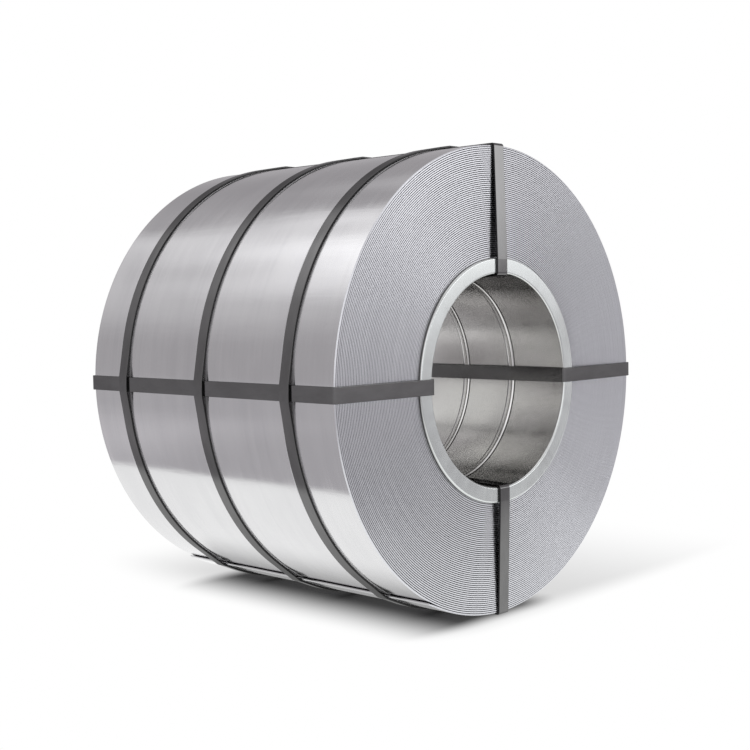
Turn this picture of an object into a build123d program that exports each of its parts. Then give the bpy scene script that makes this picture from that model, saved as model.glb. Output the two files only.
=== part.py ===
from build123d import *
import os
from math import acos, atan2, cos, degrees, radians, sin, sqrt

# Steel coil lying on its side: wound strip on a ribbed core sleeve, tied by belts and eye straps.
# The eye runs along Y with the front end at -Y, +Z is up, and the origin is on the floor under the middle.
# Angles are in degrees as seen from the front, from +X towards +Z.

# Core sleeve
bore_diameter = 508.0
sleeve_wall = 39.0
sleeve_proud = 8.0
sleeve_edge_bevel = 5.0

# Ribs round the sleeve's bore, the same at both ends
rib_width = 20.0
rib_top_width = 11.0
rib_height = 5.0
first_rib_inset = 158.0
rib_pitch = 150.0
ribs_per_end = 2

# Wound strip
coil_diameter = 1112.0
strip_width = 864.0
strip_thickness = 4.7
tail_angle = 241.7
tail_lift = 2.2
turns_per_groove = 14
groove_width = 3.0
groove_depth = 2.5

# Straps through the eye
strap_width = 36.0
strap_thickness = 5.0
strap_angles = {"right": 0.0, "top": 90.0, "left": 180.0, "bottom": 270.0}

# Belts round the outside
belt_width = 30.0
belt_thickness = 5.0
front_belt_inset = 144.0
belt_pitch = 293.0
belt_names = ["front", "middle", "rear"]

# Crimped seals that close the straps behind and the belts on the far side
seal_length = 56.0
seal_wall = 2.0
seal_foot_gap = 1.0
seal_notch_width = 9.0
seal_notch_shares = [0.3, 0.7]
belt_seal_angle = 40.0
strap_seal_share = 0.5

# Fits
clearance = 0.2
overrun = 20.0

half_turn = 180.0
full_turn = 360.0

# Derived sizes
bore_radius = bore_diameter / 2
sleeve_radius = bore_radius + sleeve_wall
sleeve_length = strip_width + 2 * sleeve_proud
coil_radius = coil_diameter / 2
coil_bore_radius = sleeve_radius + clearance
seam_angle = tail_angle + half_turn
belt_places = [front_belt_inset - strip_width / 2 + i * belt_pitch for i in range(len(belt_names))]
rib_places = [strip_width / 2 - first_rib_inset - i * rib_pitch for i in range(ribs_per_end)]


def direction(angle):
    """Unit vector across the coil towards an angle, in the plane of its end."""
    return Vector(cos(radians(angle)), sin(radians(angle)))


def lapped_after(angle):
    """True where, going on from an angle, the strip's free end lies over the turn before it."""
    return (angle - tail_angle) % full_turn < half_turn


def lapped_before(angle):
    """True where, coming up to an angle, the strip's free end lies over the turn before it."""
    return 0 < (angle - tail_angle) % full_turn <= half_turn


def wrap_circle(lapped, lift):
    """Centre and radius of the coil's outer face, lifted off by a gap.

    Two half circles with centres a little apart make one turn of a spiral, which drops by one strip.
    """
    step = strip_thickness / 4 if lapped else -strip_thickness / 4
    return direction(tail_angle) * step, coil_radius + step + lift


def reach(angle):
    """Distance from the axis to a flat thing that lies against the coil's outer face."""
    centre, radius = wrap_circle(lapped_after(angle), 0)
    return radius + centre.dot(direction(angle))


strap_seat = {name: reach(angle) + clearance for name, angle in strap_angles.items()}
belt_seat = {name: seat + strap_thickness + clearance for name, seat in strap_seat.items()}
axis_height = belt_seat["bottom"] + belt_thickness


def tail_lip(gap):
    """Outer corner of the strip's free end, or a point a gap further out."""
    return direction(tail_angle) * (coil_radius + strip_thickness / 2 + tail_lift + gap)


def coil_outline():
    """Two-centre spiral whose free end runs off straight, over a gap that closes where the strip lies tight."""
    centre, outer = wrap_circle(True, 0)
    inner = outer - strip_thickness
    lip = tail_lip(0)
    leave_angle = tangent_angle(lip, centre, outer, 1)
    leave = centre + direction(leave_angle) * outer
    shut_angle = leave_angle - degrees(acos(inner / (inner + clearance)))
    shut = centre + direction(shut_angle) * inner
    under_lip = lip - direction(leave_angle) * strip_thickness
    return make_face([
        Line(lip, leave),
        CenterArc(centre, outer, leave_angle, (seam_angle - leave_angle) % full_turn),
        CenterArc(*wrap_circle(False, 0), seam_angle, half_turn),
        CenterArc(centre, inner, tail_angle, (shut_angle - tail_angle) % full_turn),
        Line(shut, shut + direction(shut_angle) * clearance),
        Line(shut + direction(shut_angle) * clearance, under_lip),
        Line(under_lip, lip),
    ])


def coil():
    """Wound strip with a sprung free end, and with grooves between turns on both ends."""
    solid = extrude(Plane.XZ * coil_outline(), strip_width / 2, both=True)
    solid -= Rot(X=90) * Cylinder(coil_bore_radius, strip_width + overrun)
    return solid - turn_grooves()


def turn_grooves():
    """Rings cut into both ends, one for every few turns."""
    groove_pitch = turns_per_groove * strip_thickness
    count = int((coil_radius - coil_bore_radius - groove_width) / groove_pitch)
    rings = []
    for end in (-1, 1):
        face = end * strip_width / 2
        for i in range(count):
            radius = coil_radius - (i + 1) * groove_pitch
            section = Polyline(
                (radius - groove_width / 2, face),
                (radius, face - end * groove_depth),
                (radius + groove_width / 2, face),
                close=True,
            )
            rings.append(revolve(make_face(section), Axis.Y))
    return rings


def core_sleeve():
    """Tube under the strip with bevelled ends that stand proud, and ribs round its bore."""
    wall = Pos(bore_radius + sleeve_wall / 2, 0) * Rectangle(sleeve_wall, sleeve_length)
    wall = chamfer(wall.vertices(), sleeve_edge_bevel)
    for place in rib_places:
        for end in (-1, 1):
            wall += rib_section(end * place)
    return revolve(wall, Axis.Y)


def rib_section(place):
    """Section of one rib, with sloping sides, rooted in the sleeve's wall."""
    root = bore_radius + rib_height
    top = bore_radius - rib_height
    return make_face(Polyline(
        (root, place - rib_width / 2),
        (bore_radius, place - rib_width / 2),
        (top, place - rib_top_width / 2),
        (top, place + rib_top_width / 2),
        (bore_radius, place + rib_width / 2),
        (root, place + rib_width / 2),
        close=True,
    ))


def loop_band(outline, plane, width, thickness):
    """Closed band of even thickness round an outline."""
    band = offset(outline, thickness, kind=Kind.ARC) - outline
    return extrude(plane * band, width / 2, both=True)


def strap_plane(angle):
    """Plane through the axis at an angle: across the coil, then along it."""
    across = direction(angle)
    return Plane((0, 0, 0), x_dir=(across.X, 0, across.Y), z_dir=(-across.Y, 0, across.X))


def flat_inside(radius):
    """Distance from the axis to a strap lying flat across the inside of a ring."""
    return sqrt(radius ** 2 - (strap_width / 2) ** 2) - clearance


def strap_corners(name):
    """Bends of a strap's inner face on the rear half, from the outside of the coil into its bore."""
    coil_end = strip_width / 2 + clearance
    sleeve_end = sleeve_length / 2 + clearance
    return [
        (strap_seat[name], coil_end),
        (sleeve_radius - sleeve_edge_bevel, sleeve_end),
        (flat_inside(bore_radius), sleeve_end),
        (flat_inside(bore_radius - rib_height), rib_places[0] + rib_top_width / 2),
    ]


def eye_strap(name):
    """Strap drawn tight round the wall of the coil, over the sleeve's ends and the tops of its ribs."""
    rear = strap_corners(name)
    front = [(across, -along) for across, along in reversed(rear)]
    outline = make_face(Polyline(*rear, *front, close=True))
    ends = outline.vertices().group_by(Axis.Y)
    bends = [end.sort_by(Axis.X)[0] for end in (ends[0], ends[-1])]
    outline = fillet(bends, sleeve_edge_bevel)
    return loop_band(outline, strap_plane(strap_angles[name]), strap_width, strap_thickness)


def tangent_angle(point, centre, radius, side):
    """Where a straight run from a point meets a circle, before it (-1) or after it (1)."""
    ray = point - centre
    return degrees(atan2(ray.Y, ray.X)) + side * degrees(acos(min(1, radius / ray.length)))


def free_run(start, end, start_angle, end_angle):
    """Belt from one bend to the next: straight off the bend, along the coil and straight onto the next."""
    first = wrap_circle(lapped_after(start_angle), clearance)
    last = wrap_circle(lapped_before(end_angle), clearance)
    leave = tangent_angle(start, *first, 1)
    land = tangent_angle(end, *last, -1)
    if lapped_after(start_angle) == lapped_before(end_angle):
        arcs = [CenterArc(*first, leave, (land - leave) % full_turn)]
    else:
        arcs = [
            CenterArc(*first, leave, (seam_angle - leave) % full_turn),
            CenterArc(*last, seam_angle, (land - seam_angle) % full_turn),
        ]
    runs = [(start, arcs[0] @ 0), (arcs[-1] @ 1, end)]
    straights = [Line(a, b) for a, b in runs if (a - b).length > clearance]
    return straights + arcs


def belt_outline():
    """Tightest line round the coil and the straps on it."""
    bends = []
    for name, angle in strap_angles.items():
        flat = direction(angle) * belt_seat[name]
        aside = direction(angle + half_turn / 2) * (strap_width / 2)
        bends.append((angle, flat - aside, flat + aside))
    lip = tail_lip(clearance)
    bends.append((tail_angle, lip, lip))
    bends.sort(key=lambda bend: bend[0])
    edges = []
    for (angle, first, last), (next_angle, next_first, _) in zip(bends, bends[1:] + bends[:1]):
        if first != last:
            edges.append(Line(first, last))
        edges += free_run(last, next_first, angle, next_angle)
    return make_face(edges)


def crimp_seal(band_width, band_thickness):
    """Folded clip over a band: X along the band, Z out from the band's outer face, notched on both sides."""
    inside = band_width / 2 + clearance
    outside = inside + seal_wall
    foot = seal_foot_gap - band_thickness
    section = Polyline(
        (-outside, foot), (-outside, clearance + seal_wall), (outside, clearance + seal_wall), (outside, foot),
        (inside, foot), (inside, clearance), (-inside, clearance), (-inside, foot),
        close=True,
    )
    clip = extrude(Plane.YZ * make_face(section), seal_length / 2, both=True)
    for share in seal_notch_shares:
        place = (share - 1 / 2) * seal_length
        notch = Polyline(
            (place - seal_notch_width / 2, foot), (place, 0), (place + seal_notch_width / 2, foot), close=True,
        )
        clip -= extrude(Plane.XZ * make_face(notch), outside + overrun, both=True)
    return clip


def belt_seal(place):
    """Seal on a belt, tangent to the coil on the side away from the tail."""
    centre, radius = wrap_circle(lapped_after(belt_seal_angle), clearance + belt_thickness)
    across = direction(belt_seal_angle)
    seat = centre + across * radius
    along = direction(belt_seal_angle + half_turn / 2)
    plane = Plane((seat.X, place, seat.Y), x_dir=(along.X, 0, along.Y), z_dir=(across.X, 0, across.Y))
    return plane * crimp_seal(belt_width, belt_thickness)


def strap_seal(name):
    """Seal on a strap, part way along its slanted run over the rear end."""
    outer, inner = [Vector(*corner) for corner in strap_corners(name)[:2]]
    run = (inner - outer).normalized()
    out = Vector(run.Y, -run.X)
    seat = outer + (inner - outer) * strap_seal_share + out * strap_thickness
    plane = strap_plane(strap_angles[name])
    local = Plane(
        plane.from_local_coords(seat),
        x_dir=plane.from_local_coords(run) - plane.origin,
        z_dir=plane.from_local_coords(out) - plane.origin,
    )
    return local * crimp_seal(strap_width, strap_thickness)


def save(node, solid):
    """Write one piece, standing on the floor."""
    solid = Pos(0, 0, axis_height) * solid
    export_step(solid, os.path.join("parts", node + ".step"))


os.makedirs("parts", exist_ok=True)
save("coil", coil())
save("core_sleeve", core_sleeve())
for strap_name in strap_angles:
    save("eye_strap_" + strap_name, eye_strap(strap_name))
    save("strap_seal_" + strap_name, strap_seal(strap_name))
tight_line = belt_outline()
for belt_name, belt_place in zip(belt_names, belt_places):
    ring = loop_band(tight_line, Plane.XZ, belt_width, belt_thickness)
    save("belt_" + belt_name, Pos(0, belt_place, 0) * ring)
    save("belt_seal_" + belt_name, belt_seal(belt_place))
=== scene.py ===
"""Looks of the steel coil: every turn of the strip, the ribbed sleeve, the strapping and its seals."""
from math import acos, cos, pi, radians, sin, sqrt, tan

import bmesh
import bpy
import numpy as np
from mathutils import Matrix, Vector


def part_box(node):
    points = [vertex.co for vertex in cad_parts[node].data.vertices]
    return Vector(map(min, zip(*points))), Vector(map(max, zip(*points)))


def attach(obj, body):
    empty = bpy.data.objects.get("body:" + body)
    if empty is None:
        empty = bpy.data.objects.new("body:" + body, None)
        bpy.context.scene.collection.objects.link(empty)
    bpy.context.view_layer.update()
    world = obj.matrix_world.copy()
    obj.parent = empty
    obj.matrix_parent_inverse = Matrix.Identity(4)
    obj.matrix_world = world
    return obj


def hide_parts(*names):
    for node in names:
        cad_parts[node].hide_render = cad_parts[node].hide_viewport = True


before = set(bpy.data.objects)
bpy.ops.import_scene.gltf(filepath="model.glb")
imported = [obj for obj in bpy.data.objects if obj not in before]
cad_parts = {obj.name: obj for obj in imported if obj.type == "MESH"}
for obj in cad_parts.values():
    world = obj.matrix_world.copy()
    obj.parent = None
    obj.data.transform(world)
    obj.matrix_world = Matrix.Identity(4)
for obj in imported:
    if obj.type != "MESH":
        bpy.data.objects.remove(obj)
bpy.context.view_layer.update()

# Lengths are in metres. Angles are seen from the front end (-Y), from +X towards +Z.

# Wound strip
coil_radius = 0.556
strip_thickness = 0.0047
tail_angle = radians(241.7)
tail_lift = 0.0022
lip_bevel = 0.0025
gap_width = 0.0020
gap_depth = 0.0024
edge_bevel = 0.0022

# Wander of the turns' edges in two waves, with their shares and their rates in radians a turn
turn_wander = 0.0001
wander_shares = (0.6, 0.4)
wander_rates = (2.4, 15.1)

# Points across a turn's edge, and columns and rows of the strip's mesh
edge_points = 4
turn_columns = 200
tail_columns = 10
flank_rows = 12

# Core sleeve and its ribs
bore_radius = 0.254
sleeve_radius = 0.293
ring_rounding = 0.005
rib_places = (0.274, 0.124, -0.124, -0.274)
rib_width = 0.020
rib_top_width = 0.011
rib_height = 0.005
rib_rounding = 0.008
rib_foot_rounding = 0.006
sleeve_columns = 240

# Painted shade across a ring's outer rounding, from its face to the strip: none at zero and below, full at
# one
ring_dirt_shares = (-0.8, 1.2)

# Strapping
strap_width = 0.036
belt_width = 0.030
band_thickness = 0.005
band_rounding = 0.0012
band_corner_steps = 3
strap_bend = 0.002
strap_angles = {"right": 0.0, "top": pi / 2, "left": pi, "bottom": 3 * pi / 2}
belt_names = ("front", "middle", "rear")
belt_steps = 720

# Seals
seal_length = 0.056
seal_wall = 0.002
seal_foot_gap = 0.001
seal_rounding = 0.0009
seal_pinch = 0.0014
seal_notch_rise = 0.0022
seal_crimp_width = 0.009
seal_crimp_shares = (0.3, 0.7)
seal_stations = 57
belt_seal_angle = radians(40)
strap_seal_share = 0.5

# Strip made dull beside each belt: how far from the belt's middle this starts to fade, and where it ends
rubbed_reach = (0.018, 0.026)

# Heights of the relief that is too fine to model
wave_height = 0.004
ripple_height = 0.0015
rolled_height = 0.0001
slit_height = 0.0002
dent_height = 0.002
rub_height = 0.0002
grain_height = 0.0001
pressed_height = 0.0002

# Fits and meshes
clearance = 0.0002
weld_distance = 0.00001
corner_steps = 6
sharp_angle = radians(25)

# Camera, placed from the coil's axis at mid length
camera_azimuth = radians(46.1588)
camera_elevation = radians(3.3796)
camera_distance = 3.3114
camera_yaw = radians(-0.2737)
camera_pitch = radians(-0.0098)
camera_roll = radians(0.9829)
camera_lens_mm = 60.6697
camera_sensor_mm = 36.0

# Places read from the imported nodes
coil_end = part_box("coil")[1].y
sleeve_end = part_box("core_sleeve")[1].y
axis_height = sum(corner.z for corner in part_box("core_sleeve")) / 2
belt_places = {name: sum(corner.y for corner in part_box("belt_" + name)) / 2 for name in belt_names}


# Node helpers

def add(tree, kind, inputs, **settings):
    """New shader node with its settings, and its inputs as values or links."""
    node = tree.nodes.new("ShaderNode" + kind)
    for key, value in settings.items():
        setattr(node, key, value)
    feed(tree, node, inputs)
    return node


def feed(tree, node, inputs):
    """Set or link the inputs of a node."""
    for key, value in inputs.items():
        if isinstance(value, bpy.types.NodeSocket):
            tree.links.new(value, node.inputs[key])
        else:
            node.inputs[key].default_value = value


def calculate(tree, operation, first, second=0.0):
    """Sum, product or other arithmetic of two values."""
    return add(tree, "Math", {0: first, 1: second}, operation=operation).outputs[0]


def spread(tree, value, from_low, from_high, to_low, to_high, kind="SMOOTHSTEP"):
    """Value moved from one range to another, held at its ends."""
    ranges = {"Value": value, 1: from_low, 2: from_high, 3: to_low, 4: to_high}
    return add(tree, "MapRange", ranges, interpolation_type=kind).outputs[0]


def mixed(tree, factor, first, second):
    """Colour between two colours."""
    node = add(tree, "Mix", {0: factor, 6: first, 7: second}, data_type="RGBA")
    return node.outputs[2]


def blend(tree, first, second, second_share):
    """Value between two values."""
    first_part = calculate(tree, "MULTIPLY", first, 1 - second_share)
    second_part = calculate(tree, "MULTIPLY", second, second_share)
    return calculate(tree, "ADD", first_part, second_part)


def marked(tree, mark):
    """A mark that the mesh carries at each point."""
    return add(tree, "Attribute", {}, attribute_name=mark).outputs["Fac"]


def object_place(tree):
    """X, Y and Z of the shaded place."""
    return add(tree, "SeparateXYZ", {0: add(tree, "TexCoord", {}).outputs["Object"]}).outputs


def noise(tree, cycles, detail=3.0, roughness=0.5):
    """Noise on the UV map, with so many cycles a metre along and across."""
    place = add(tree, "UVMap", {}, uv_map="metres").outputs[0]
    scaled = add(tree, "Mapping", {"Vector": place, "Scale": (*cycles, 1.0)}).outputs[0]
    inputs = {"Vector": scaled, "Scale": 1.0, "Detail": detail, "Roughness": roughness}
    return add(tree, "TexNoise", inputs).outputs[0]


def bump(tree, height, distance, strength, normal=None):
    """Normal bent by a height."""
    inputs = {"Height": height, "Distance": distance, "Strength": strength}
    if normal is not None:
        inputs["Normal"] = normal
    return add(tree, "Bump", inputs).outputs[0]


def new_material(name):
    """Material with its tree and shader."""
    material = bpy.data.materials.new(name)
    material.use_nodes = True
    return material, material.node_tree, material.node_tree.nodes["Principled BSDF"]


# Materials

def strip_face():
    """Bright rolled strip with faint lines and streaks, blotches, a ripple and a wave, dull by the belts."""
    material, tree, shader = new_material("strip_face")
    rolled = noise(tree, (0.6, 140.0), 4.0, 0.55)
    streak = noise(tree, (2.5, 30.0), 3.0, 0.5)
    blotch = noise(tree, (5.0, 7.0), 4.0, 0.55)
    fine = blend(tree, rolled, streak, second_share=0.6)
    tone = blend(tree, fine, blotch, second_share=0.5)
    shade = spread(tree, tone, 0.38, 0.62, 0.0, 1.0)
    colour = mixed(tree, shade, (0.73, 0.73, 0.738, 1), (0.78, 0.78, 0.785, 1))
    worn = spread(tree, streak, 0.58, 0.72, 0.0, 0.04)
    rough = calculate(tree, "ADD", spread(tree, tone, 0.38, 0.62, 0.1, 0.15), worn)
    y = object_place(tree)[1]
    for place in belt_places.values():
        from_belt = calculate(tree, "ABSOLUTE", calculate(tree, "SUBTRACT", y, place))
        rough = calculate(tree, "ADD", rough, spread(tree, from_belt, *rubbed_reach, 0.4, 0.0))
    wave = bump(tree, noise(tree, (4.0, 1.3), 2.0), wave_height, 0.3)
    ripple = bump(tree, noise(tree, (24.0, 3.5), 3.0), ripple_height, 0.25, wave)
    lines = bump(tree, fine, rolled_height, 0.06, ripple)
    feed(tree, shader, {"Base Color": colour, "Roughness": rough, "Normal": lines, "Metallic": 1.0})
    return material


def strip_edges():
    """Slit edges of the strip, with a grain: some turns lighter and some duller, and painted shade, dark, in
    the gaps.
    """
    material, tree, shader = new_material("strip_edges")
    turn_tone = noise(tree, (2.0, 1 / strip_thickness), 2.0)
    slit = noise(tree, (300.0, 90.0), 3.0)
    shade = spread(tree, turn_tone, 0.3, 0.7, 0.0, 1.0)
    edge = mixed(tree, shade, (0.742, 0.752, 0.785, 1), (0.792, 0.802, 0.835, 1))
    # Painted shade: black at the bottom of each gap between turns and under the free end
    in_gap_shade = spread(tree, marked(tree, "gap"), 0.05, 0.6, 0.0, 1.0)
    colour = mixed(tree, in_gap_shade, edge, (0.05, 0.05, 0.055, 1))
    rough = spread(tree, turn_tone, 0.3, 0.7, 0.3, 0.36)
    normal = bump(tree, slit, slit_height, 0.04)
    along = add(tree, "Tangent", {}, direction_type="UV_MAP", uv_map="metres").outputs[0]
    feed(tree, shader, {
        "Base Color": colour, "Roughness": rough, "Metallic": 1.0, "Normal": normal,
        "Anisotropic": 0.8, "Anisotropic Rotation": 0.25, "Tangent": along,
    })
    return material


def sleeve_steel():
    """Smooth steel with satin patches and rubbing marks, cooler on the rings, with painted shade by ribs and
    strip.
    """
    material, tree, shader = new_material("sleeve_steel")
    patch = noise(tree, (8.0, 10.0), 3.0, 0.5)
    rub = noise(tree, (45.0, 6.0), 3.0, 0.5)
    tone = blend(tree, patch, rub, second_share=0.3)
    shade = spread(tree, tone, 0.35, 0.65, 0.0, 1.0)
    bore = mixed(tree, shade, (0.75, 0.745, 0.73, 1), (0.81, 0.805, 0.795, 1))
    ring = mixed(tree, shade, (0.735, 0.767, 0.752, 1), (0.794, 0.829, 0.819, 1))
    from_middle = calculate(tree, "ABSOLUTE", object_place(tree)[1])
    on_ring = spread(tree, from_middle, sleeve_end - ring_rounding, sleeve_end, 0.0, 1.0)
    unshaded = mixed(tree, on_ring, bore, ring)
    # Painted shade: darker at the feet of the ribs and where the rings meet the strip
    dirt = spread(tree, marked(tree, "dirt"), 0.0, 1.0, 0.0, 1.0)
    colour = mixed(tree, dirt, unshaded, (0.18, 0.18, 0.175, 1))
    rough = spread(tree, tone, 0.35, 0.65, 0.19, 0.27)
    dents = bump(tree, noise(tree, (9.0, 12.0), 2.0), dent_height, 0.12)
    normal = bump(tree, rub, rub_height, 0.05, dents)
    feed(tree, shader, {"Base Color": colour, "Roughness": rough, "Metallic": 1.0, "Normal": normal})
    return material


def strap_steel():
    """Dark strapping: dull grey paint on steel, lighter where it has rubbed, with painted shade, black, on
    the sides.
    """
    material, tree, shader = new_material("strap_steel")
    grain = noise(tree, (60.0, 500.0), 4.0, 0.6)
    patch = noise(tree, (12.0, 30.0), 3.0)
    tone = blend(tree, grain, patch, second_share=0.6)
    shade = spread(tree, tone, 0.35, 0.65, 0.0, 1.0)
    face = mixed(tree, shade, (0.183, 0.182, 0.182, 1), (0.218, 0.217, 0.217, 1))
    # Painted shade: the bands' side faces darkened to black
    on_side_shade = spread(tree, marked(tree, "edge"), 0.3, 0.9, 0.0, 1.0)
    colour = mixed(tree, on_side_shade, face, (0.045, 0.045, 0.045, 1))
    rough = spread(tree, tone, 0.35, 0.65, 0.13, 0.18)
    normal = bump(tree, grain, grain_height, 0.06)
    feed(tree, shader, {
        "Base Color": colour, "Roughness": rough, "Metallic": 1.0, "Normal": normal,
        "Specular Tint": (0.55, 0.55, 0.55, 1),
    })
    return material


def seal_steel():
    """Dull pressed steel with small rubbed patches."""
    material, tree, shader = new_material("seal_steel")
    patch = noise(tree, (90.0, 90.0), 4.0, 0.6)
    shade = spread(tree, patch, 0.35, 0.65, 0.0, 1.0)
    colour = mixed(tree, shade, (0.3, 0.3, 0.31, 1), (0.44, 0.44, 0.45, 1))
    rough = spread(tree, patch, 0.35, 0.65, 0.28, 0.45)
    normal = bump(tree, patch, pressed_height, 0.2)
    feed(tree, shader, {"Base Color": colour, "Roughness": rough, "Metallic": 1.0, "Normal": normal})
    return material


# Mesh helpers

def around(radius, angle, along):
    """Points at a distance from the coil's axis, at an angle and along the axis."""
    radius, angle, along = np.broadcast_arrays(radius, angle, along)
    return np.stack([radius * np.cos(angle), along, axis_height + radius * np.sin(angle)], -1)


def quads(row_index, column_index, rows, columns):
    """Faces of a grid of points, from each row and column to the next, closing past the last."""
    row, column = np.meshgrid(row_index, column_index, indexing="ij")
    next_row, next_column = (row + 1) % rows, (column + 1) % columns
    corners = [(row, column), (row, next_column), (next_row, next_column), (next_row, column)]
    return np.stack([corner_row * columns + corner for corner_row, corner in corners], -1).reshape(-1, 4)


def mesh_of(name, points, faces, uvs, **marks):
    """Mesh with a UV map in metres, and marks that its material reads at each point."""
    mesh = bpy.data.meshes.new(name)
    mesh.from_pydata(points.tolist(), [], faces.tolist())
    layer = mesh.uv_layers.new(name="metres")
    layer.data.foreach_set("uv", uvs[faces.reshape(-1)].astype(np.float32).reshape(-1))
    for mark, values in marks.items():
        mesh.attributes.new(mark, "FLOAT", "POINT").data.foreach_set("value", values.astype(np.float32))
    return mesh


def swept_mesh(name, points, lengths, heights, **marks):
    """Closed tube of sections: a grid of points that closes both ways, with UVs along and across it."""
    rows, columns = points.shape[:2]
    closed_rows = np.concatenate([points, points[:1]])
    closed = np.concatenate([closed_rows, closed_rows[:, :1]], 1)
    uvs = np.stack(np.meshgrid(lengths, heights, indexing="ij"), -1)
    faces = quads(np.arange(rows), np.arange(columns), rows + 1, columns + 1)
    spread_marks = {mark: np.tile(np.append(values, values[0]), rows + 1) for mark, values in marks.items()}
    mesh = mesh_of(name, closed.reshape(-1, 3), faces, uvs.reshape(-1, 2), **spread_marks)
    weld(mesh)
    return mesh


def weld(mesh):
    """Join points that lie on each other, drop faces of no size and turn all faces outwards."""
    work = bmesh.new()
    work.from_mesh(mesh)
    bmesh.ops.remove_doubles(work, verts=work.verts, dist=weld_distance)
    bmesh.ops.recalc_face_normals(work, faces=work.faces)
    work.to_mesh(mesh)
    work.free()


def finish_piece(node, mesh, materials):
    """Piece that stands for a node, shaded smooth on round faces and flat on flat ones."""
    mesh.validate()
    mesh.shade_smooth()
    mesh.set_sharp_from_angle(angle=sharp_angle)
    for material in materials:
        mesh.materials.append(material)
    piece = bpy.data.objects.new(node + "_finished", mesh)
    bpy.context.scene.collection.objects.link(piece)
    flat = piece.modifiers.new("flat_faces", "WEIGHTED_NORMAL")
    flat.keep_sharp = True
    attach(piece, "root")
    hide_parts(node)
    return piece


def rounded(corners, radii, steps=corner_steps):
    """Closed outline with each corner an arc, as large as its radius or its sides allow."""
    corners = [Vector(corner) for corner in corners]
    neighbours = zip(corners[-1:] + corners[:-1], corners, corners[1:] + corners[:1], radii)
    outline = []
    for before, corner, after, radius in neighbours:
        back, onward = before - corner, after - corner
        half = back.angle(onward) / 2
        reach = min(radius / tan(half), back.length / 2, onward.length / 2)
        middle = corner + (back.normalized() + onward.normalized()).normalized() * (reach / cos(half))
        first = corner + back.normalized() * reach - middle
        last = corner + onward.normalized() * reach - middle
        for step in range(steps + 1):
            outline.append(middle + first.lerp(last, step / steps).normalized() * first.length)
    return np.array(outline)


def run_lengths(outline):
    """Length along a closed outline at each of its points, and all the way round."""
    steps = np.linalg.norm(np.roll(outline, -1, 0) - outline, axis=1)
    return np.concatenate([[0], np.cumsum(steps)])


# Wound strip

tail_circle = coil_radius + strip_thickness / 4
tail_run = acos(tail_circle / (tail_circle + tail_lift))
coil_bore = sleeve_radius + clearance
layers = int(np.ceil((coil_radius + strip_thickness / 2 - coil_bore) / strip_thickness))


def spiral(turn):
    """Radius of the coil's outer face at an angle past its free end: two half circles a little apart."""
    step = np.where(turn < pi, strip_thickness / 4, -strip_thickness / 4)
    return step * np.cos(turn) + np.sqrt((coil_radius + step) ** 2 - (step * np.sin(turn)) ** 2)


def sprung(turn):
    """How far the strip's free end stands off: it runs straight from where it leaves the coil."""
    return tail_circle * (1 / np.cos(np.maximum(tail_run - turn, 0)) - 1)


def wander(winding):
    """How far a turn's edge lies back from the coil's end, changing slowly along the strip."""
    waves = sum(share * np.sin(rate * winding) for share, rate in zip(wander_shares, wander_rates))
    return turn_wander * (1 + waves) / 2


def turn_edges(turn):
    """Radius, depth and place along the strip of its edge: four points across each layer, from gap to gap."""
    layer = np.arange(layers)[:, None, None]
    across = np.array([0, gap_width / 2, strip_thickness - gap_width / 2, strip_thickness])[None, :, None]
    winding = layer + turn / (2 * pi)
    radius = spiral(turn) - layer * strip_thickness - across
    rim = np.interp(turn, [2 * pi - tail_run, 2 * pi], [edge_bevel, gap_width / 2])
    radius[0, 1] = radius[0, 0] - rim
    radius[0] += sprung(turn)
    radius[0, :2, 0] -= lip_bevel
    depth = np.zeros(radius.shape)
    depth[:, (0, 3)] = gap_depth
    depth[:, 1] = wander(winding[:, 0])
    depth[:, 2] = wander(winding[:, 0] + gap_width / strip_thickness)
    depth[0, 0] = edge_bevel
    depth[0, 3] = depth[1, 0] = np.interp(turn, [0, tail_run], [edge_bevel, gap_depth])
    depth[radius <= coil_bore] = 0
    strip_place = np.stack(np.broadcast_arrays(turn * coil_radius, winding * strip_thickness + across), -1)
    return np.maximum(radius, coil_bore), depth, strip_place


def gap_shade_marks(radius):
    """Painted shade: 1 at the bottom of each gap between turns, and 0 elsewhere."""
    in_gap_shade = np.zeros(radius.shape)
    in_gap_shade[:, (0, 3)] = 1
    in_gap_shade[0, 0] = 0
    in_gap_shade[radius <= coil_bore] = 0
    return in_gap_shade


def flank_grid(radius, turn, depth):
    """Flank from end to end: from the lip round the coil, in under the free end and back out to the lip."""
    mouth = slice(0, tail_columns + 1)
    outline = [(radius[0, 0], turn, depth[0, 0]), (radius[1, 0, mouth], turn[mouth], depth[1, 0, mouth])]
    outline.append(tuple(part[mouth][::-1] for part in (radius[0, 3], turn, depth[0, 3])))
    outline_radius, outline_turn, outline_depth = [np.concatenate(part) for part in zip(*outline)]
    along = np.linspace(-1, 1, flank_rows + 1)[:, None] * (coil_end - outline_depth)
    points = around(outline_radius, tail_angle + outline_turn, along)
    places = np.stack(np.broadcast_arrays(outline_turn * coil_radius, along), -1)
    return points, places


def coil_faces(columns, flank_columns):
    """Faces of the two ends, the lip and the bore, and apart from them the faces of the flank."""
    rows = layers * edge_points
    one_end = rows * columns
    strip_rows = np.arange(rows).reshape(layers, edge_points)[:, :-1].reshape(-1)
    end_faces = quads(strip_rows, np.arange(columns - 1), rows, columns)
    lip_face = np.arange(edge_points)[None, :] * columns
    bore_row = one_end - columns + np.arange(columns)
    bore_faces = np.stack([bore_row[:-1], bore_row[1:], bore_row[1:] + one_end, bore_row[:-1] + one_end], -1)
    flank_faces = quads(np.arange(flank_rows), np.arange(flank_columns), flank_rows + 1, flank_columns)
    ends = np.concatenate([end_faces, end_faces + one_end, lip_face, lip_face + one_end, bore_faces])
    return ends, flank_faces + 2 * one_end


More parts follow.
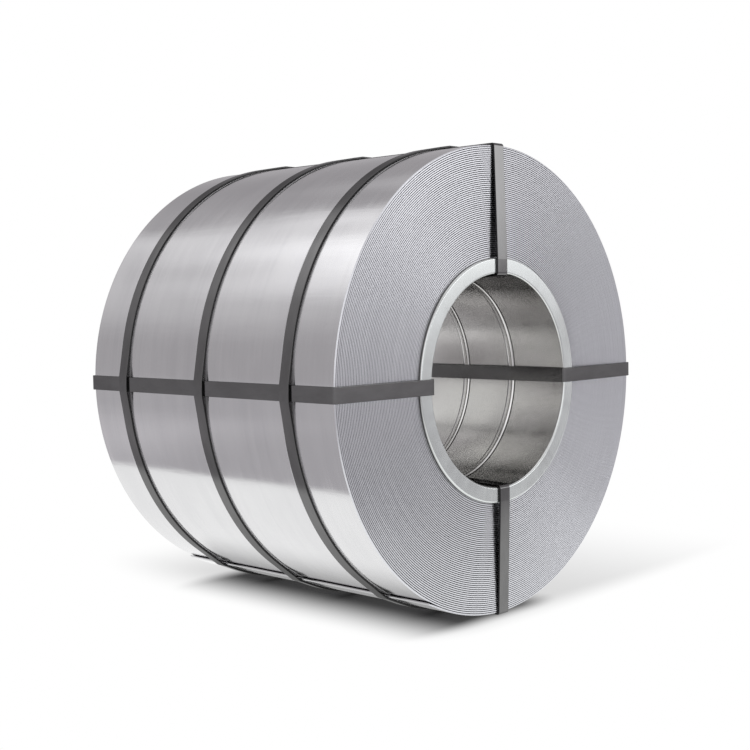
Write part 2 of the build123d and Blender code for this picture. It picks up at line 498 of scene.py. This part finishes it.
def coil_piece():
    """All turns of the strip as one closed mesh: two ends with gaps between turns, the flank and the bore."""
    turn = np.concatenate([
        np.linspace(0, tail_run, tail_columns, endpoint=False),
        np.linspace(tail_run, 2 * pi, turn_columns),
    ])
    radius, depth, strip_place = turn_edges(turn)
    ends = [around(radius, tail_angle + turn, side * (coil_end - depth)).reshape(-1, 3) for side in (-1, 1)]
    flank, flank_place = flank_grid(radius, turn, depth)
    flank_columns = flank.shape[1]
    in_mouth = np.arange(flank_columns) >= len(turn)
    end_faces, flank_faces = coil_faces(len(turn), flank_columns)

    points = np.concatenate([*ends, flank.reshape(-1, 3)])
    places = np.concatenate([strip_place.reshape(-1, 2)] * 2 + [flank_place.reshape(-1, 2)])
    # Painted shade marks: the gaps' bottoms on both ends, and the faces under the free end
    gaps = np.concatenate([gap_shade_marks(radius).reshape(-1)] * 2 + [np.tile(in_mouth, flank_rows + 1)])
    mesh = mesh_of("coil_turns", points, np.concatenate([end_faces, flank_faces]), places, gap=gaps)

    # The ends and the faces under the free end are finished as slit edges, whose painted shade blackens the
    # crevice under the free end
    covered = np.append(in_mouth[:-1], False)
    finishes = np.concatenate([np.ones(len(end_faces)), np.tile(covered, flank_rows)])
    mesh.polygons.foreach_set("material_index", finishes.astype(np.int32))
    weld(mesh)
    return finish_piece("coil", mesh, [strip_face(), strip_edges()])


# Core sleeve

def sleeve_dirt(radii):
    """How much painted shade darkens the sleeve's outline: at the feet of its ribs, and where its rings meet
    the strip.
    """
    at_foot = np.sin(np.linspace(0, pi, corner_steps + 1))
    dirt = [at_foot * (radius == rib_foot_rounding) for radius in radii]
    at_strip = np.clip(np.linspace(*ring_dirt_shares, corner_steps + 1), 0, 1)
    dirt[0] = at_strip
    dirt[1] = at_strip[::-1]
    return np.concatenate(dirt)


def sleeve_piece():
    """Tube with rounded ends that stand proud of the strip, and ribs with rounded edges round its bore."""
    corners = [(sleeve_radius, -sleeve_end), (sleeve_radius, sleeve_end), (bore_radius, sleeve_end)]
    radii = [ring_rounding] * 3
    crest = bore_radius - rib_height
    for place in rib_places:
        half, half_top = rib_width / 2, rib_top_width / 2
        corners += [(bore_radius, place + half), (crest, place + half_top)]
        corners += [(crest, place - half_top), (bore_radius, place - half)]
        radii += [rib_foot_rounding, rib_rounding, rib_rounding, rib_foot_rounding]
    corners.append((bore_radius, -sleeve_end))
    radii.append(ring_rounding)
    profile = rounded(corners, radii)
    angle = np.linspace(0, 2 * pi, sleeve_columns, endpoint=False)
    points = around(profile[None, :, 0], angle[:, None] - pi / 2, profile[None, :, 1])
    lengths = np.append(angle, 2 * pi) * bore_radius
    # The outline carries the painted shade mark at the ribs' feet and the rings' edges by the strip
    mesh = swept_mesh("sleeve_wall", points, lengths, run_lengths(profile), dirt=sleeve_dirt(radii))
    return finish_piece("core_sleeve", mesh, [sleeve_steel()])


# Strapping

def lapped_step(angle):
    """Shift of the half circle that the coil's outer face follows at an angle."""
    past_tail = (angle - tail_angle) % (2 * pi)
    return strip_thickness / 4 if past_tail < pi else -strip_thickness / 4


def strap_seat(angle):
    """Distance from the axis to the inner face of a strap on the coil's outer face."""
    step = lapped_step(angle)
    return coil_radius + step + step * cos(angle - tail_angle) + clearance


def flat_inside(radius):
    """Distance from the axis to a strap that lies flat across the inside of a ring."""
    return sqrt(radius ** 2 - (strap_width / 2) ** 2) - clearance


def strap_corners(angle):
    """Bends of a strap's inner face on the rear half, from the outside of the coil into its bore."""
    return [
        (strap_seat(angle), coil_end + clearance),
        (sleeve_radius - ring_rounding, sleeve_end + clearance),
        (flat_inside(bore_radius), sleeve_end + clearance),
        (flat_inside(bore_radius - rib_height), rib_places[0] + rib_top_width / 2),
    ]


def band_mesh(name, path, width, place):
    """Flat band with rounded edges round a closed path, which its inner face follows anticlockwise."""
    ahead = np.roll(path, -1, 0) - path
    facing = np.stack([ahead[:, 1], -ahead[:, 0]], -1) / np.linalg.norm(ahead, axis=1)[:, None]
    outward = facing + np.roll(facing, 1, 0)
    outward *= 2 / (outward ** 2).sum(1, keepdims=True)
    half = width / 2
    corners = [(0, -half), (band_thickness, -half), (band_thickness, half), (0, half)]
    section = rounded(corners, [band_rounding] * 4, band_corner_steps)
    flat = path[:, None] + outward[:, None] * section[None, :, :1]
    points = place(flat[..., 0], flat[..., 1], np.broadcast_to(section[None, :, 1], flat.shape[:2]))
    # Mark for the painted shade: 1 on the band's side faces, fading to 0 across their rounded corners
    edge = np.clip((np.abs(section[:, 1]) - half) / band_rounding + 1, 0, 1)
    return swept_mesh(name, points, run_lengths(path), run_lengths(section), edge=edge)


def strap_frame(angle):
    """Places a point across the coil, along it and sideways, for a strap at an angle."""
    def place(across, along, aside):
        x = across * cos(angle) - aside * sin(angle)
        z = across * sin(angle) + aside * cos(angle)
        return np.stack(np.broadcast_arrays(x, along, axis_height + z), -1)
    return place


def strap_piece(name, finish):
    """Strap drawn tight round the wall of the coil, over the sleeve's ends and ribs."""
    rear = strap_corners(strap_angles[name])
    front = [(across, -along) for across, along in reversed(rear)]
    bends = [strap_bend, strap_bend, ring_rounding, strap_bend]
    path = rounded(rear + front, bends + bends[::-1])
    mesh = band_mesh("strap_" + name, path, strap_width, strap_frame(strap_angles[name]))
    return finish_piece("eye_strap_" + name, mesh, [finish])


def tight_line(points):
    """Corners of the tightest line round points, anticlockwise."""
    points = sorted(set(map(tuple, points)))
    line = []
    for run in (points, points[::-1]):
        half = []
        for x, y in run:
            while len(half) > 1 and turns_right(half[-2], half[-1], (x, y)):
                half.pop()
            half.append((x, y))
        line += half[:-1]
    return np.array(line)


def turns_right(start, bend, end):
    """True where the way from the start by the bend to the end doesn't turn left."""
    across = (bend[0] - start[0]) * (end[1] - start[1])
    return across <= (bend[1] - start[1]) * (end[0] - start[0])


def belt_line():
    """Inner face of a belt, tight over the strip, its free end and the straps."""
    turn = np.append(np.linspace(0, 2 * pi, belt_steps, endpoint=False), tail_run)
    radius = spiral(turn) + sprung(turn) + clearance
    points = np.stack([radius * np.cos(tail_angle + turn), radius * np.sin(tail_angle + turn)], -1).tolist()
    for angle in strap_angles.values():
        out = strap_seat(angle) + band_thickness + clearance
        for aside in (-strap_width / 2, strap_width / 2):
            points.append((out * cos(angle) - aside * sin(angle), out * sin(angle) + aside * cos(angle)))
    return tight_line(points)


def belt_piece(name, path, finish):
    """Belt round the outside of the coil, over the straps."""
    def place(x, z, aside):
        return np.stack([x, belt_places[name] + aside, axis_height + z], -1)
    mesh = band_mesh("belt_loop_" + name, path, belt_width, place)
    return finish_piece("belt_" + name, mesh, [finish])


# Seals

def seal_mesh(name, band_width, matrix):
    """Folded clip over a band, pinched and notched where it was crimped: X along the band, Z out of it."""
    inside = band_width / 2 + clearance
    outside = inside + seal_wall
    top = clearance + seal_wall
    foot = seal_foot_gap - band_thickness
    corners = [
        (-outside, foot), (-inside, foot), (-inside, clearance), (inside, clearance),
        (inside, foot), (outside, foot), (outside, top), (-outside, top),
    ]
    section = rounded(corners, [seal_rounding] * 2 + [clearance] * 2 + [seal_rounding] * 2 + [seal_wall] * 2)
    along = np.linspace(-seal_length / 2, seal_length / 2, seal_stations)
    crimps = np.array([(share - 1 / 2) * seal_length for share in seal_crimp_shares])
    from_crimp = np.abs(along[:, None] - crimps) / (seal_crimp_width / 2)
    pressed = np.clip(1 - from_crimp, 0, 1).sum(1, keepdims=True)
    low = ((top - section[:, 1]) / (top - foot))[None, :]
    aside = section[None, :, 0] - np.sign(section[None, :, 0]) * seal_pinch * pressed * low
    out = section[None, :, 1] + seal_notch_rise * pressed * low
    points = np.stack(np.broadcast_arrays(along[:, None], aside, out), -1)
    rows, columns = points.shape[:2]
    faces = quads(np.arange(rows - 1), np.arange(columns), rows, columns)
    places = np.stack(np.meshgrid(along, run_lengths(section)[:-1], indexing="ij"), -1)
    world = points.reshape(-1, 3) @ np.array(matrix.to_3x3()).T + np.array(matrix.translation)
    mesh = mesh_of(name, world, faces, places.reshape(-1, 2))
    close_ends(mesh)
    return mesh


def close_ends(mesh):
    """Fill the open ends of a tube and turn its faces outwards."""
    work = bmesh.new()
    work.from_mesh(mesh)
    bmesh.ops.holes_fill(work, edges=work.edges)
    bmesh.ops.recalc_face_normals(work, faces=work.faces)
    work.to_mesh(mesh)
    work.free()


def axes_matrix(along, aside, out, origin):
    """Matrix that takes X, Y and Z to three directions at a place."""
    matrix = Matrix((along, aside, out)).transposed().to_4x4()
    matrix.translation = origin
    return matrix


def belt_seal_piece(name, finish):
    """Seal on a belt, on the side away from the strip's free end."""
    step = lapped_step(belt_seal_angle)
    out = Vector((cos(belt_seal_angle), 0, sin(belt_seal_angle)))
    along = Vector((-sin(belt_seal_angle), 0, cos(belt_seal_angle)))
    centre = Vector((step * cos(tail_angle), belt_places[name], axis_height + step * sin(tail_angle)))
    origin = centre + out * (coil_radius + step + clearance + band_thickness)
    mesh = seal_mesh("belt_clip_" + name, belt_width, axes_matrix(along, out.cross(along), out, origin))
    return finish_piece("belt_seal_" + name, mesh, [finish])


def strap_seal_piece(name, finish):
    """Seal on a strap, on its slanted run over the rear end."""
    angle = strap_angles[name]
    outer, inner = [Vector(corner) for corner in strap_corners(angle)[:2]]
    run = (inner - outer).normalized()
    facing = Vector((run.y, -run.x))
    seat = outer + (inner - outer) * strap_seal_share + facing * band_thickness
    place = strap_frame(angle)
    base = Vector(place(0, 0, 0))
    along = Vector(place(run.x, run.y, 0)) - base
    out = Vector(place(facing.x, facing.y, 0)) - base
    matrix = axes_matrix(along, out.cross(along), out, Vector(place(seat.x, seat.y, 0)))
    mesh = seal_mesh("strap_clip_" + name, strap_width, matrix)
    return finish_piece("strap_seal_" + name, mesh, [finish])


coil_piece()
sleeve_piece()
strap_finish = strap_steel()
seal_finish = seal_steel()
for strap_name in strap_angles:
    strap_piece(strap_name, strap_finish)
    strap_seal_piece(strap_name, seal_finish)
belt_path = belt_line()
for belt_name in belt_names:
    belt_piece(belt_name, belt_path, strap_finish)
    belt_seal_piece(belt_name, seal_finish)


# Studio

floor_reach = 30.0

# The coil's shadow, painted on the floor: where it starts to fade and how far it does so, left and right,
# front and rear, close round the coil and far out, and as the metal mirrors it
shade_starts = ((-0.10, 0.10), (-0.385, 0.40))
near_fades = ((0.26, 0.17), (0.08, 0.10))
far_fades = ((0.26, 1.20), (0.13, 0.60))
mirror_starts = ((-0.15, 0.10), (-0.385, 0.40))
mirror_fades = ((0.23, 0.17), (0.08, 0.10))
near_share = 0.65
far_share = 0.35
mirror_least_share = 0.35

# The floor as the metal mirrors it: fades along X or Y from white to grey, left of the coil
# and in front of it, and from grey to a paler grey, far in front and behind the coil
grey_left = (-0.779, -0.719)
grey_left_from = (-0.6, -0.3)
grey_front = (-1.5, -1.0)
pale_front = (-9.0, -1.5)
pale_rear = (0.6, 1.4)
pale_rear_from = (-2.2, -1.0)


def outside(tree, place, starts, fades):
    """How far a place lies outside the coil's footprint: 0 where the shadow starts to fade, 1 at its end."""
    squares = []
    for value, (low, high), (below, above) in zip(place, starts, fades):
        first = spread(tree, value, low - below, low, 1.0, 0.0, "LINEAR")
        last = spread(tree, value, high, high + above, 0.0, 1.0, "LINEAR")
        reach = calculate(tree, "ADD", first, last)
        squares.append(calculate(tree, "MULTIPLY", reach, reach))
    return calculate(tree, "SQRT", calculate(tree, "ADD", *squares))


def floor_seen(tree, place, shaded, white):
    """The floor as the eye sees it: white, with the coil's shadow, cast on a floor painted dark close round
    it.
    """
    near = spread(tree, outside(tree, place, shade_starts, near_fades), 0.0, 1.0, 0.0, near_share)
    far = spread(tree, outside(tree, place, shade_starts, far_fades), 0.0, 1.0, 0.0, far_share)
    clear = calculate(tree, "ADD", near, far)
    return add(tree, "MixShader", {0: clear, 1: shaded, 2: white}).outputs[0]


def floor_mirrored(tree, place, shaded, white):
    """The floor as the metal mirrors it: a white card with the coil's shadow, cast and painted, and grey past
    it.
    """
    x, y = place
    from_coil = outside(tree, place, mirror_starts, mirror_fades)
    clear = spread(tree, from_coil, 0.0, 1.0, mirror_least_share, 1.0)
    card = add(tree, "MixShader", {0: clear, 1: shaded, 2: white}).outputs[0]
    left_from = spread(tree, y, *grey_left_from, 0.0, 1.0)
    left = calculate(tree, "MULTIPLY", spread(tree, x, *grey_left, 1.0, 0.0), left_from)
    past_card = calculate(tree, "MAXIMUM", left, spread(tree, y, *grey_front, 1.0, 0.0))
    rear_from = spread(tree, x, *pale_rear_from, 0.0, 1.0)
    rear = calculate(tree, "MULTIPLY", spread(tree, y, *pale_rear, 0.0, 1.0), rear_from)
    pale = calculate(tree, "ADD", spread(tree, y, *pale_front, 1.0, 0.0), rear)
    tone = mixed(tree, pale, (0.465, 0.45, 0.47, 1), (0.6, 0.58, 0.605, 1))
    grey = add(tree, "Emission", {"Color": tone, "Strength": 1.0}).outputs[0]
    return add(tree, "MixShader", {0: past_card, 1: card, 2: grey}).outputs[0]


def floor_material():
    """White floor with the coil's cast and painted shadow to the eye, and a white card on grey to the metal.
    """
    material, tree, shader = new_material("studio_floor")
    tree.nodes.remove(shader)
    place = object_place(tree)[:2]
    # Dark floor for the painted shadow, which also takes the lamps' real shadow
    shaded = add(tree, "BsdfDiffuse", {"Color": (0.2, 0.2, 0.2, 1)}).outputs[0]
    white = add(tree, "Emission", {"Color": (1, 1, 1, 1), "Strength": 1.0}).outputs[0]
    seen = floor_seen(tree, place, shaded, white)
    mirrored = floor_mirrored(tree, place, shaded, white)
    to_eye = add(tree, "LightPath", {}).outputs["Is Camera Ray"]
    final = add(tree, "MixShader", {0: to_eye, 1: mirrored, 2: seen}).outputs[0]
    tree.links.new(final, tree.nodes["Material Output"].inputs["Surface"])
    return material


def floor_piece():
    """Flat floor under the coil."""
    mesh = bpy.data.meshes.new("studio_floor")
    corners = [(x * floor_reach, y * floor_reach, 0) for x, y in ((-1, -1), (1, -1), (1, 1), (-1, 1))]
    mesh.from_pydata(corners, [], [(0, 1, 2, 3)])
    mesh.materials.append(floor_material())
    floor = bpy.data.objects.new("studio_floor", mesh)
    bpy.context.scene.collection.objects.link(floor)


# Soft boxes of light: middle and half breadth of azimuth from +X towards +Y and the fade to each side,
# lowest and highest elevation and the fade up and down, all in degrees, and brightness,
# which darkens the room where it is below zero
soft_boxes = [
    (112, 10, 7, 38, 60, 7, 0.75),
    (122, 6, 5, 29, 60, 5, 0.35),
    (115, 17, 7, 17, 60, 7, 0.18),
    (95, 4, 5, 33, 60, 5, 0.35),
    (88, 5, 4, 42, 60, 4, 0.45),
    (-56, 18, 8, 4, 28, 9, 0.68),
    (-42, 10, 4, 3, 13, 4, 1.6),
    (-76, 12, 6, -2, 10, 4, 0.35),
    (-122, 26, 8, -8, 45, 6, 0.75),
    (-50, 42, 8, 47, 60, 6, 0.5),
    (-104, 12, 6, 51, 62, 5, 0.6),
    (45, 25, 3, -6, 3, 3, 0.45),
    (60, 8, 5, 39, 50, 3, 0.15),
    (50, 22, 10, 22, 48, 8, -0.06),
    (0, 200, 14, 66, 110, 14, 0.8),
]
room_brightness = 0.43


def soft_box(tree, azimuth, elevation, box):
    """Brightness of a soft box in a direction."""
    middle, half, fade_aside, lowest, highest, fade_up, bright = box
    aside = calculate(tree, "ABSOLUTE", calculate(tree, "SUBTRACT", azimuth, radians(middle)))
    within = spread(tree, aside, radians(half - fade_aside), radians(half + fade_aside), 1.0, 0.0)
    above = spread(tree, elevation, radians(lowest - fade_up), radians(lowest + fade_up), 0.0, bright)
    below = spread(tree, elevation, radians(highest - fade_up), radians(highest + fade_up), 1.0, 0.0)
    return calculate(tree, "MULTIPLY", within, calculate(tree, "MULTIPLY", above, below))


def studio_light():
    """Soft studio: white to the eye, grey with soft boxes of light to everything else."""
    world = bpy.data.worlds.new("studio")
    bpy.context.scene.world = world
    world.use_nodes = True
    tree = world.node_tree
    way = add(tree, "SeparateXYZ", {0: add(tree, "TexCoord", {}).outputs["Generated"]}).outputs
    azimuth = calculate(tree, "ARCTAN2", way[1], way[0])
    elevation = calculate(tree, "ARCSINE", way[2])
    total = 0.0
    for box in soft_boxes:
        total = calculate(tree, "ADD", total, soft_box(tree, azimuth, elevation, box))
    boxes = add(tree, "Background", {"Color": (0.99, 0.995, 1, 1), "Strength": total}).outputs[0]
    room = add(tree, "Background", {"Color": (1, 0.965, 1, 1), "Strength": room_brightness}).outputs[0]
    grey = add(tree, "AddShader", {0: room, 1: boxes}).outputs[0]
    white = add(tree, "Background", {"Color": (1, 1, 1, 1), "Strength": 1.0}).outputs[0]
    to_eye = add(tree, "LightPath", {}).outputs["Is Camera Ray"]
    final = add(tree, "MixShader", {0: to_eye, 1: grey, 2: white}).outputs[0]
    tree.links.new(final, tree.nodes["World Output"].inputs["Surface"])


def photo_camera():
    """Camera at the photo's place and angle."""
    level = cos(camera_elevation)
    offset = Vector((-sin(camera_azimuth) * level, -cos(camera_azimuth) * level, sin(camera_elevation)))
    look = -offset
    right = look.cross(Vector((0, 0, 1))).normalized()
    up = right.cross(look)
    axes = Matrix((right, up, offset))
    yaw = Matrix.Rotation(-camera_yaw, 3, "Y")
    pitch = Matrix.Rotation(camera_pitch, 3, "X")
    roll = Matrix.Rotation(camera_roll, 3, "Z")
    data = bpy.data.cameras.new("photo_camera")
    data.lens = camera_lens_mm
    data.sensor_width = camera_sensor_mm
    camera = bpy.data.objects.new("photo_camera", data)
    bpy.context.scene.collection.objects.link(camera)
    camera.matrix_world = (roll @ pitch @ yaw @ axes).transposed().to_4x4()
    camera.location = Vector((0, 0, axis_height)) + offset * camera_distance
    bpy.context.scene.camera = camera


floor_piece()
studio_light()
photo_camera()
bpy.context.scene.view_settings.view_transform = "Standard"
